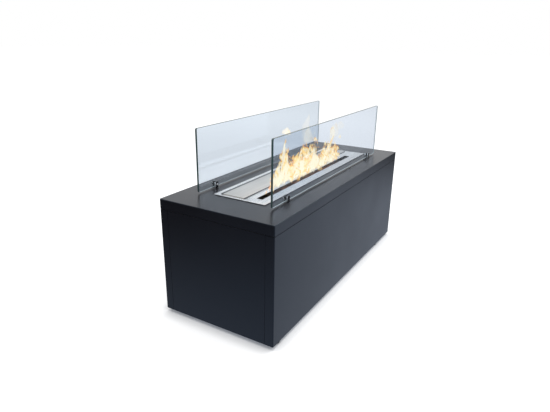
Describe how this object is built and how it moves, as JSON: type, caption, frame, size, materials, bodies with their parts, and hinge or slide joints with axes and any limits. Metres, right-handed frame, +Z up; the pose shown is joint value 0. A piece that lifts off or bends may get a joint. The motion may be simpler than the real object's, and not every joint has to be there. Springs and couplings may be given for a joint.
{
  "type": "bioethanol fireplace",
  "caption": "Free-standing black steel box with a stainless slot burner and slide cover in its top, and a clamped glass pane along each side of the flame.",
  "frame": {"origin": "on the floor, under the middle of the box", "axes": "+X along the box from its left end to its right end, +Y from the front to the rear, +Z up; the slot lies nearer the front and the slide cover behind it"},
  "size_m": [0.9, 0.355, 0.5191],
  "materials": {
    "powder_coat": "satin black powder coat",
    "plain_steel": "galvanised sheet",
    "stainless": "brushed stainless sheet",
    "chrome": "polished chrome",
    "zinc_steel": "zinc plated",
    "clear_glass": "clear tempered glass",
    "black_rubber": "matt rubber",
    "ceramic_wool": "fibrous ceramic block"
  },
  "bodies": {
    "casing": {"top_cover": "powder_coat", "front_panel": "powder_coat", "rear_panel": "powder_coat", "left_end_panel": "powder_coat", "right_end_panel": "powder_coat", "base_tray": "plain_steel", "corner_post_front_left": "plain_steel", "corner_post_front_right": "plain_steel", "corner_post_rear_left": "plain_steel", "corner_post_rear_right": "plain_steel", "front_rail": "plain_steel", "rear_rail": "plain_steel", "foot_nut_front_left": "zinc_steel", "foot_nut_front_right": "zinc_steel", "foot_nut_rear_left": "zinc_steel", "foot_nut_rear_right": "zinc_steel", "base_screw_front_left": "zinc_steel", "base_screw_front_right": "zinc_steel", "base_screw_rear_left": "zinc_steel", "base_screw_rear_right": "zinc_steel", "clamp_body_front_left": "chrome", "clamp_body_front_right": "chrome", "clamp_body_rear_left": "chrome", "clamp_body_rear_right": "chrome", "clamp_liner_front_left": "black_rubber", "clamp_liner_front_right": "black_rubber", "clamp_liner_rear_left": "black_rubber", "clamp_liner_rear_right": "black_rubber", "clamp_screw_front_left": "chrome", "clamp_screw_front_right": "chrome", "clamp_screw_rear_left": "chrome", "clamp_screw_rear_right": "chrome", "clamp_bolt_front_left": "zinc_steel", "clamp_bolt_front_right": "zinc_steel", "clamp_bolt_rear_left": "zinc_steel", "clamp_bolt_rear_right": "zinc_steel"},
    "burner": {"burner_deck": "stainless", "recess_pan": "stainless", "burner_tank": "stainless", "ceramic_wool": "ceramic_wool", "wool_screen": "zinc_steel"},
    "cover": {"slide_cover": "stainless"},
    "front_pane": {"front_glass": "clear_glass"},
    "rear_pane": {"rear_glass": "clear_glass"},
    "foot_front_left": {"foot_pad_front_left": "black_rubber", "foot_stud_front_left": "zinc_steel"},
    "foot_front_right": {"foot_pad_front_right": "black_rubber", "foot_stud_front_right": "zinc_steel"},
    "foot_rear_left": {"foot_pad_rear_left": "black_rubber", "foot_stud_rear_left": "zinc_steel"},
    "foot_rear_right": {"foot_pad_rear_right": "black_rubber", "foot_stud_rear_right": "zinc_steel"}
  },
  "joints": [
    {"name": "cover_slide", "type": "slide", "parent": "burner", "child": "cover", "axis": [0, -1, 0], "range_m": [-0.003, 0.05]},
    {"name": "burner_lift", "type": "slide", "parent": "casing", "child": "burner", "axis": [0, 0, 1], "range_m": [0, 0.12]},
    {"name": "front_glass_lift", "type": "slide", "parent": "casing", "child": "front_pane", "axis": [0, 0, 1], "range_m": [0, 0.06]},
    {"name": "rear_glass_lift", "type": "slide", "parent": "casing", "child": "rear_pane", "axis": [0, 0, 1], "range_m": [0, 0.06]},
    {"name": "foot_front_left_height", "type": "slide", "parent": "casing", "child": "foot_front_left", "axis": [0, 0, -1], "range_m": [-0.003, 0.008]},
    {"name": "foot_front_right_height", "type": "slide", "parent": "casing", "child": "foot_front_right", "axis": [0, 0, -1], "range_m": [-0.003, 0.008]},
    {"name": "foot_rear_left_height", "type": "slide", "parent": "casing", "child": "foot_rear_left", "axis": [0, 0, -1], "range_m": [-0.003, 0.008]},
    {"name": "foot_rear_right_height", "type": "slide", "parent": "casing", "child": "foot_rear_right", "axis": [0, 0, -1], "range_m": [-0.003, 0.008]}
  ]
}
